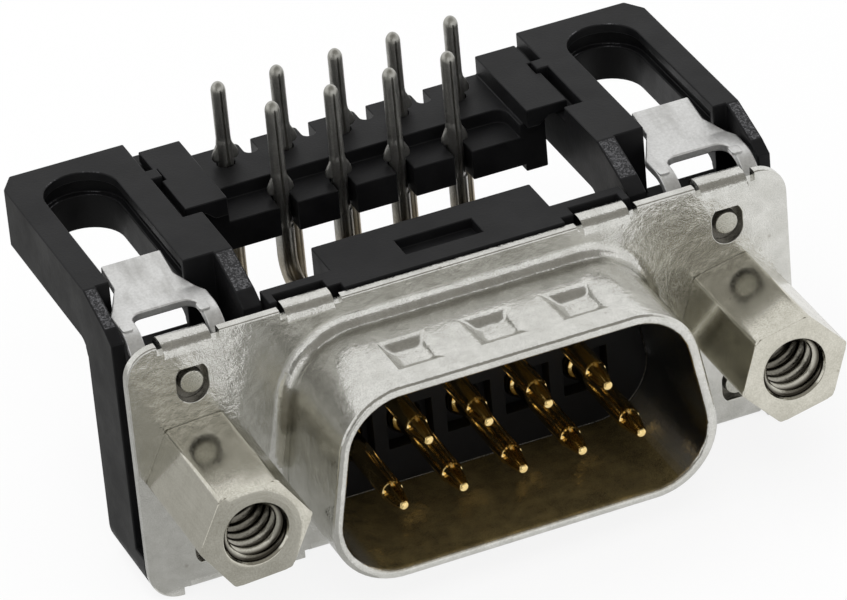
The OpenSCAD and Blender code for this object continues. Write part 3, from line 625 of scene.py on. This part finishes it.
def satin_nickel():
    """Nickel on drawn steel: a soft mirror broken by frosty peel, with a painted gold-brown reflection of the pins
    inside the mating shell, where it is also less metallic.

    The painted reflection lies where a floor or roof faces the shell's axis: height times the normal's Z is negative.
    """
    finish, tree, body = new_finish("satin_nickel")
    axes = axes_of(tree, object_place(tree))
    outward = math_node(tree, "MULTIPLY", axes["Z"], surface(tree, "True Normal")["Z"])
    faces_in = ramp_range(tree, outward, -PAINTED_REFLECTION_NEAR * MM, -PAINTED_REFLECTION_DEEP * MM)
    within = ramp_range(tree, math_node(tree, "ABSOLUTE", axes["X"]), PAINTED_REFLECTION_FULL_X * MM, PAINTED_REFLECTION_END_X * MM, 1.0, 0.0)
    inside = math_node(tree, "MULTIPLY", faces_in, within)
    mottle = place_group(tree, MOTTLE, {"Grain": 22000.0, "Cloud": 1100.0, "Wave": 9.0})
    marks = place_group(tree, MARKS, {"Amount": 0.5, "Speck": 1100.0})
    plated = mix_colour(tree, mottle["Shade"], (0.77, 0.765, 0.73, 1.0), (0.48, 0.475, 0.44, 1.0))
    rubbed = mix_colour(tree, marks["Rub"], plated, (0.58, 0.574, 0.53, 1.0))
    spotted = mix_colour(tree, math_node(tree, "MULTIPLY", marks["Dot"], 0.45), rubbed, (0.30, 0.28, 0.24, 1.0))
    # Painted reflection: a mottled gold-brown in place of the nickel on the shell's inside, standing in for the
    # reflected pins
    painted_pin_reflection = mix_colour(tree, mottle["Shade"], (0.34, 0.26, 0.11, 1.0), (0.07, 0.055, 0.03, 1.0))
    dress(tree, body, {"Base Color": mix_colour(tree, inside, spotted, painted_pin_reflection),
                       "Roughness": ramp_range(tree, mottle["Shade"], 0.2, 0.8, 0.07, 0.18),
                       "Metallic": ramp_range(tree, inside, 0.0, 1.0, 1.0, 0.6)})
    bump_into(tree, body, mottle["Height"], 0.004)
    return finish


PEG_FULL_Y, PEG_END_Y = 0.1, 0.2


def shade_painted_plate():
    """The plate behind the flange, coloured dark as painted shade for where it shows in the gaps, with plated peg
    ends in front of it.
    """
    finish, tree, body = new_finish("shade_painted_plate")
    mottle = place_group(tree, MOTTLE, {"Grain": 22000.0, "Cloud": 1500.0})
    # Painted shade: the plate darker than plating, as it only shows deep in the gaps round the pegs
    plate_in_shade = mix_colour(tree, mottle["Shade"], (0.24, 0.23, 0.21, 1.0), (0.13, 0.124, 0.112, 1.0))
    plated = mix_colour(tree, mottle["Shade"], (0.62, 0.612, 0.555, 1.0), (0.46, 0.452, 0.40, 1.0))
    is_peg = ramp_range(tree, axes_of(tree, object_place(tree))["Y"], PEG_END_Y * MM, PEG_FULL_Y * MM)
    dress(tree, body, {"Base Color": mix_colour(tree, is_peg, plate_in_shade, plated),
                       "Roughness": ramp_range(tree, mottle["Shade"], 0.2, 0.8, 0.2, 0.34),
                       "Metallic": 1.0})
    bump_into(tree, body, mottle["Height"], 0.006)
    return finish


def turned_nickel(name, centre_x):
    """Nickel on turned brass: faint rings about the screw axis on the faces and drawn lines along the flats.

    Painted shade darkens the bore with its depth and in the thread's grooves.
    """
    finish, tree, body = new_finish(name)
    place = object_place(tree)
    axes = axes_of(tree, place)
    marks = place_group(tree, MARKS, {"Amount": 0.4, "Speck": 1500.0})
    mottle = place_group(tree, MOTTLE, {"Grain": 16000.0, "Cloud": 900.0})
    off_x = math_node(tree, "SUBTRACT", axes["X"], centre_x * MM)
    reach = math_node(tree, "SQRT", math_node(tree, "ADD", math_node(tree, "MULTIPLY", off_x, off_x),
                                              math_node(tree, "MULTIPLY", axes["Z"], axes["Z"])))
    rings = noise(tree, add(tree, "CombineXYZ", {"X": reach}).outputs[0], 12000.0, 2.0)
    drawn_place = add(tree, "Mapping", {"Vector": place, "Scale": (1.0, 0.04, 1.0)}).outputs[0]
    drawn = noise(tree, drawn_place, 7000.0, 2.0)
    flatness = ramp_range(tree, math_node(tree, "ABSOLUTE", surface(tree, "Normal")["Y"]), 0.75, 0.95)
    lines = mix_value(tree, flatness, drawn, rings)
    plated = mix_colour(tree, mottle["Shade"], (0.70, 0.68, 0.60, 1.0), (0.50, 0.482, 0.41, 1.0))
    streaked = mix_colour(tree, ramp_range(tree, lines, 0.4, 0.7, 0.0, 0.22), plated, (0.46, 0.44, 0.37, 1.0))
    # Painted shade: the bore darker with its depth and in the bottoms of the thread's grooves
    depth = ramp_range(tree, axes["Y"], (JACK_FRONT + 0.3) * MM, (JACK_FRONT + 2.2) * MM, 0.1, 0.8)
    groove = ramp_range(tree, reach, (BORE_R - 0.2) * MM, (BORE_R - 0.06) * MM, 0.0, 0.92)
    bored = ramp_range(tree, reach, (BORE_R + 0.01) * MM, (BORE_R + 0.03) * MM, 1.0, 0.0)
    painted_bore_shade = math_node(tree, "MULTIPLY", bored, math_node(tree, "MAXIMUM", depth, groove))
    with_bore_shade = mix_colour(tree, painted_bore_shade, streaked, (0.04, 0.034, 0.024, 1.0))
    spotted = mix_colour(tree, math_node(tree, "MULTIPLY", marks["Dot"], 0.4), with_bore_shade, (0.20, 0.17, 0.13, 1.0))
    dress(tree, body, {"Base Color": spotted, "Metallic": 1.0,
                       "Roughness": ramp_range(tree, mottle["Shade"], 0.2, 0.8, 0.1, 0.2)})
    bump_into(tree, body, math_node(tree, "MULTIPLY_ADD", lines, 0.25, mottle["Height"]), 0.0015)
    return finish


TIN_FROM_Y, TIN_FULL_Y = 1.8, 3.2
CUT_FROM_Z, CUT_FULL_Z = 9.5, 9.9
BRASSY_FULL_Z, BRASSY_END_Z = 1.0, 3.5


def gilt_and_tin():
    """Gold on the mating pin and matt tin on the tail, with a soft line between them inside the insulator.

    The tin is warmer low on the tail, and plainer at its cut end.
    """
    finish, tree, body = new_finish("gilt_and_tin")
    axes = axes_of(tree, object_place(tree))
    mottle = place_group(tree, MOTTLE, {"Grain": 9000.0, "Cloud": 1800.0})
    marks = place_group(tree, MARKS, {"Amount": 0.6, "Speck": 2600.0})
    shade = mottle["Shade"]
    gold = mix_colour(tree, shade, (1.0, 0.79, 0.38, 1.0), (0.84, 0.60, 0.24, 1.0))
    tin = mix_colour(tree, shade, (0.46, 0.455, 0.43, 1.0), (0.32, 0.315, 0.295, 1.0))
    tin = mix_colour(tree, marks["Rub"], tin, (0.52, 0.515, 0.49, 1.0))
    cut_end = ramp_range(tree, axes["Z"], CUT_FROM_Z * MM, CUT_FULL_Z * MM)
    tin = mix_colour(tree, cut_end, tin, (0.44, 0.435, 0.40, 1.0))
    brassy = ramp_range(tree, axes["Z"], BRASSY_FULL_Z * MM, BRASSY_END_Z * MM, 0.55, 0.0)
    tin = mix_colour(tree, brassy, tin, (0.46, 0.36, 0.20, 1.0))
    is_tin = ramp_range(tree, axes["Y"], TIN_FROM_Y * MM, TIN_FULL_Y * MM)
    bright = ramp_range(tree, shade, 0.2, 0.85, 0.08, 0.17)
    matt = ramp_range(tree, shade, 0.2, 0.85, 0.36, 0.5)
    dress(tree, body, {"Base Color": mix_colour(tree, is_tin, gold, tin),
                       "Roughness": mix_value(tree, is_tin, bright, matt),
                       "Metallic": 1.0})
    bump_into(tree, body, mottle["Height"], 0.003)
    return finish


def bright_tin():
    """Bright tin on the straps, smudged and specked."""
    finish, tree, body = new_finish("tinned_strap")
    mottle = place_group(tree, MOTTLE, {"Grain": 8000.0, "Cloud": 700.0})
    marks = place_group(tree, MARKS, {"Amount": 0.55, "Speck": 1300.0})
    plated = mix_colour(tree, mottle["Shade"], (0.71, 0.71, 0.70, 1.0), (0.55, 0.548, 0.535, 1.0))
    rubbed = mix_colour(tree, marks["Rub"], plated, (0.36, 0.355, 0.34, 1.0))
    spotted = mix_colour(tree, math_node(tree, "MULTIPLY", marks["Dot"], 0.5), rubbed, (0.20, 0.19, 0.18, 1.0))
    dress(tree, body, {"Base Color": spotted, "Metallic": 0.75,
                       "Roughness": ramp_range(tree, marks["Rub"], 0.0, 0.5, 0.34, 0.46)})
    bump_into(tree, body, mottle["Height"], 0.003)
    return finish


# The Y of a rail slope's normal, its give to each side, and the soft edge of the mask
RAIL_LEAN, RAIL_GIVE, RAIL_SOFT = -0.32, 0.03, 0.02


def black_moulding(name, rough_low, rough_high, sparkle=False):
    """Glass filled black moulding, matt, with flow patches and fine grain, and glinting rail slopes if asked."""
    finish, tree, body = new_finish(name)
    grain = place_group(tree, GRAIN, {"Grain": 8000.0, "Flow": 500.0})
    shade = mix_colour(tree, grain["Shade"], (0.0045, 0.0045, 0.005, 1.0), (0.009, 0.009, 0.0095, 1.0))
    height = grain["Height"]
    if sparkle:
        tilt = surface(tree, "True Normal")
        off = math_node(tree, "ABSOLUTE", math_node(tree, "SUBTRACT", tilt["Y"], RAIL_LEAN))
        slope = math_node(tree, "MULTIPLY", ramp_range(tree, off, RAIL_GIVE + RAIL_SOFT, RAIL_GIVE),
                          ramp_range(tree, tilt["Z"], 0.9, 0.92))
        bright = scatter(tree, object_place(tree), 16000.0)[1]
        glint = math_node(tree, "MULTIPLY", slope, ramp_range(tree, bright, 0.4, 1.0, 0.15, 1.0))
        shade = mix_colour(tree, glint, shade, (0.11, 0.11, 0.115, 1.0))
        height = math_node(tree, "MULTIPLY_ADD", math_node(tree, "MULTIPLY", slope, bright), 1.5, height)
    dress(tree, body, {"Base Color": shade, "Specular IOR Level": 0.16,
                       "Roughness": ramp_range(tree, grain["Shade"], 0.0, 1.0, rough_low, rough_high)})
    bump_into(tree, body, height, 0.006)
    return finish


# The plug

# Zones of edges, and how much they are eased
DIMPLE_PITCH, DIMPLE_Y, DIMPLE_HALF, DIMPLE_LOW = 3.85, 3.25, 1.1, 3.7
TAB_IN_X, TAB_HALF, TAB_LOW, TAB_FOLD_Z = 6.9, 1.46, 4.7, 5.2
LEG_FRONT_Y = 0.55
HOLES_X, HOLES_REACH = 9.6, 5.2
FOOT_Z, LEG_BACK_Y, SLOT_END_Z = -6.1, 4.9, 4.25
RAIL_Y, RAIL_END_Z = 1.36, 4.97
RIM_Y = -5.6
CELLS_HALF_X, CELLS_HALF_Z = 6.9, 3.3
DIMPLE_SHARE, TAB_SHARE, HOLE_SHARE, RIM_SHARE = 2.4, 0.0, 0.35, 2.2


def sheet_share(middle):
    """Pressed dimples and the rim have softer edges than the cut sheet, punched holes crisper ones, and folded tabs
    keep theirs."""
    x, y, z = middle.T
    across = np.abs((x + 1.5 * DIMPLE_PITCH) % DIMPLE_PITCH - 0.5 * DIMPLE_PITCH)
    dimple = (across < DIMPLE_HALF) & (np.abs(y + DIMPLE_Y) < DIMPLE_HALF) & (z > DIMPLE_LOW)
    beside = np.minimum(np.abs(np.abs(x) - SCREW_X), np.abs(np.abs(x) - TAB_IN_X))
    tab = (beside < TAB_HALF) & (np.abs(z) > np.where(y > LEG_FRONT_Y, TAB_LOW, TAB_FOLD_Z))
    hole = (np.abs(x) > HOLES_X) & (np.hypot(np.abs(x) - SCREW_X, z) < HOLES_REACH) & (y > -0.1)
    return np.select([dimple, tab, hole, y < RIM_Y],
                     [DIMPLE_SHARE, TAB_SHARE, HOLE_SHARE, RIM_SHARE], 1.0)


def cell_share(middle):
    """The cells are eased, and the D outline that fills the shell isn't."""
    return np.where((np.abs(middle[:, 2]) < CELLS_HALF_Z) & (np.abs(middle[:, 0]) < CELLS_HALF_X), 1.0, 0.0)


def arm_share(middle):
    """The bracket's edges are eased but for the back of its foot and the corners where slot, leg and rails run
    out."""
    y, z = middle.T[1:]
    foot = (z < FOOT_Z) & (y > LEG_BACK_Y - 0.2)
    slot_end = (np.abs(y - LEG_BACK_Y) < 0.12) & (np.abs(z - SLOT_END_Z) < 0.5)
    rail_end = (np.abs(y - RAIL_Y) < 0.1) & (np.abs(z - RAIL_END_Z) < 0.1)
    return np.where(foot | slot_end | rail_end, 0.0, 1.0)


ease_edges("front_shell", "drawn_shell", satin_nickel(), 0.1, steps=4, share_of=sheet_share,
           weld=SHEET_WELD)
ease_edges("rear_plate", "clinched_plate", shade_painted_plate(), 0.05)

insulator = black_moulding("black_insulator", 0.42, 0.58)
ease_edges("front_insulator", "pin_insulator", insulator, 0.03, share_of=cell_share)
ease_edges("rear_insulator", "back_insulator", insulator, 0.06)
ease_edges("tail_organizer", "tail_comb", black_moulding("black_comb", 0.4, 0.55), 0.06)
arm = black_moulding("black_bracket", 0.4, 0.56, sparkle=True)
tinned = bright_tin()
for side, sign in (("left", -1.0), ("right", 1.0)):
    ease_edges("bracket_" + side, "board_bracket_" + side, arm, 0.07, share_of=arm_share)
    ease_edges("ground_strap_" + side, "earth_strap_" + side, tinned, 0.08, steps=3)
    pads = lay_shells("coined_marks_" + side, [coined_mark(sign * SCREW_X + MARK_SHIFT + reach)
                                               for reach in (-MARK_SIDE, MARK_SIDE)], MARK_CREASE)
    wear(pads, tinned)

for side, sign, turn in (("left", -1.0, 3.6), ("right", 1.0, 12.3)):
    hexed = turned_nickel("turned_nickel_" + side, sign * SCREW_X)
    stand_for(jack_standoff("hex_standoff_" + side, sign * SCREW_X, turn), "jack_standoff_" + side,
              hexed)
    stand_for(jack_nut("hex_nut_" + side, sign * SCREW_X), "jack_nut_" + side, hexed)

plated = gilt_and_tin()
for k in range(CONTACT_COUNT):
    low = k < LOW_COUNT
    x = PITCH * (k - (LOW_COUNT - 1) / 2.0) if low else PITCH * (k - (CONTACT_COUNT + LOW_COUNT - 1) / 2.0)
    pin = contact(f"pin_and_tail_{k + 1}", x, -ROW_Z if low else ROW_Z, TAIL_REAR_Y if low else TAIL_FRONT_Y,
                  WING_REAR_Z if low else WING_FRONT_Z)
    stand_for(pin, f"contact_{k + 1}", plated)


# Studio

REACH = 3000.0
FLOOR_DROP = 0.01
FLOOR_SHADE, FLOOR_SEEN, FLOOR_MIRRORED = 0.86, 0.86, 0.4
WORLD_LIGHT, WORLD_SEEN = 0.75, 1.0


def ray_masks(tree):
    """Masks of the rays that show the background: those from the camera, and those by way of metal or glass."""
    path = add(tree, "LightPath").outputs
    return path["Is Camera Ray"], math_node(tree, "MAXIMUM", path["Is Glossy Ray"], path["Is Transmission Ray"])


def white_floor():
    """Pale floor: partly its own white, mostly so to the camera and less in the metal, and partly lit, so the shadow
    stays."""
    finish, tree = bare_material("white_floor")
    lit = add(tree, "BsdfDiffuse", {"Color": (FLOOR_SHADE, FLOOR_SHADE, FLOOR_SHADE, 1.0)})
    own = add(tree, "Emission", {"Color": (1.0, 1.0, 1.0, 1.0), "Strength": 1.0})
    straight, mirrored = ray_masks(tree)
    share = math_node(tree, "MAXIMUM", math_node(tree, "MULTIPLY", straight, FLOOR_SEEN),
                      math_node(tree, "MULTIPLY", mirrored, FLOOR_MIRRORED))
    mixed = add(tree, "MixShader", {0: share, 1: lit.outputs[0], 2: own.outputs[0]})
    add(tree, "OutputMaterial", {"Surface": mixed.outputs[0]})
    return finish


def stage_sheet(name, profile, ends, finish):
    """A sheet that isn't part of the plug: a profile in Y and Z carried along X from one end to the other."""
    profile = np.array(profile, float)
    count = len(profile)
    points = np.concatenate([np.insert(profile, 0, end, axis=1) for end in ends])
    low = np.arange(count - 1)
    piece = lay_mesh(name, points, np.stack([low, low + 1, low + count + 1, low + count], -1).tolist())
    piece.data.materials.append(finish)
    return piece


def card(name, profile, ends, shade):
    """A plain card dimmer than the world, that only polished surfaces see."""
    finish, tree = bare_material(name)
    own = add(tree, "Emission", {"Color": (*shade, 1.0), "Strength": 1.0})
    add(tree, "OutputMaterial", {"Surface": own.outputs[0]})
    piece = stage_sheet(name, profile, ends, finish)
    piece.visible_camera = False
    piece.visible_shadow = False
    piece.visible_diffuse = False


def soft_box(name, place, aim, width, height, power):
    """Area lamp in millimetres, turned to face its aim."""
    lamp = bpy.data.lights.new(name, "AREA")
    lamp.shape = "RECTANGLE"
    lamp.size, lamp.size_y = width * MM, height * MM
    lamp.energy = power
    holder = bpy.data.objects.new(name, lamp)
    holder.location = Vector(place) * MM
    holder.rotation_euler = (Vector(aim) - Vector(place)).to_track_quat("-Z", "Y").to_euler()
    holder.visible_glossy = False
    bpy.context.scene.collection.objects.link(holder)


low_z = FLOOR_Z - FLOOR_DROP
stage_sheet("floor", [(-REACH, low_z), (REACH, low_z)], (REACH, -REACH), white_floor())

# A dim card over the front and top, which leaves a bright strip at the front below it, one that ends the strip at
# the left, and grey cards lying on the floor at the front left and the left that only the metal sees: a darker floor
# in its reflections, partly a painted shadow of the plug
card("front_card", [(-420.0, 300.0), (-420.0, 620.0), (-150.0, 760.0), (160.0, 760.0)], (-900.0, 900.0),
     (0.31, 0.3, 0.278))
card("left_card", [(-420.0, 20.0), (-420.0, 300.0)], (-900.0, -240.0), (0.2, 0.195, 0.18))
floor_card_z = FLOOR_Z - 0.5 * FLOOR_DROP
FLOOR_CARD_SHADE = (0.5, 0.5, 0.49)
card("floor_card", [(-400.0, floor_card_z), (-0.5, floor_card_z)], (-400.0, -7.0), FLOOR_CARD_SHADE)
card("side_floor_card", [(-0.5, floor_card_z), (400.0, floor_card_z)], (-400.0, -15.6), FLOOR_CARD_SHADE)

world = bpy.data.worlds.new("studio")
bpy.context.scene.world = world
world.use_nodes = True
sky_tree = world.node_tree
sky_tree.nodes.clear()
seen = math_node(sky_tree, "MAXIMUM", *ray_masks(sky_tree))
level = ramp_range(sky_tree, seen, 0.0, 1.0, WORLD_LIGHT, WORLD_SEEN)
sky = add(sky_tree, "Background", {"Color": (1.0, 1.0, 1.0, 1.0), "Strength": level})
add(sky_tree, "OutputWorld", {"Surface": sky.outputs[0]})

LAMP_AIM = (0.0, 4.0, 0.0)
soft_box("top_box", (-120.0, 120.0, 480.0), LAMP_AIM, 420.0, 340.0, 0.8)
soft_box("left_box", (-430.0, 60.0, 180.0), LAMP_AIM, 300.0, 260.0, 0.35)
soft_box("front_box", (-90.0, -270.0, 440.0), LAMP_AIM, 260.0, 140.0, 0.4)

# Camera of the photograph: turned about Z, tipped, rolled, then stood off along its own axis
azimuth, elevation, roll = (math.radians(a) for a in (-20.775, 31.587, -5.261))
DISTANCE, SHIFT_X, SHIFT_Y = 278.446, 0.785, -1.581
AIM = Vector((0.0, 3.0, 0.725))
FOCAL_PX, PHOTO_WIDTH, SENSOR = 6433.069, 847.0, 36.0
back = Vector((math.sin(azimuth) * math.cos(elevation), -math.cos(azimuth) * math.cos(elevation),
               math.sin(elevation)))
right = Vector((math.cos(azimuth), math.sin(azimuth), 0.0))
up = back.cross(right)
right, up = (math.cos(roll) * right + math.sin(roll) * up, math.cos(roll) * up - math.sin(roll) * right)
eye = (AIM + back * DISTANCE - right * SHIFT_X - up * SHIFT_Y) * MM
lens = bpy.data.cameras.new("photo_camera")
lens.sensor_width = SENSOR
lens.sensor_fit = "HORIZONTAL"
lens.lens = FOCAL_PX * SENSOR / PHOTO_WIDTH
lens.clip_start = 0.01
camera = bpy.data.objects.new("photo_camera", lens)
camera.matrix_world = Matrix(((right.x, up.x, back.x, eye.x), (right.y, up.y, back.y, eye.y),
                              (right.z, up.z, back.z, eye.z), (0.0, 0.0, 0.0, 1.0)))
bpy.context.scene.collection.objects.link(camera)
bpy.context.scene.camera = camera
bpy.context.scene.view_settings.view_transform = "Standard"
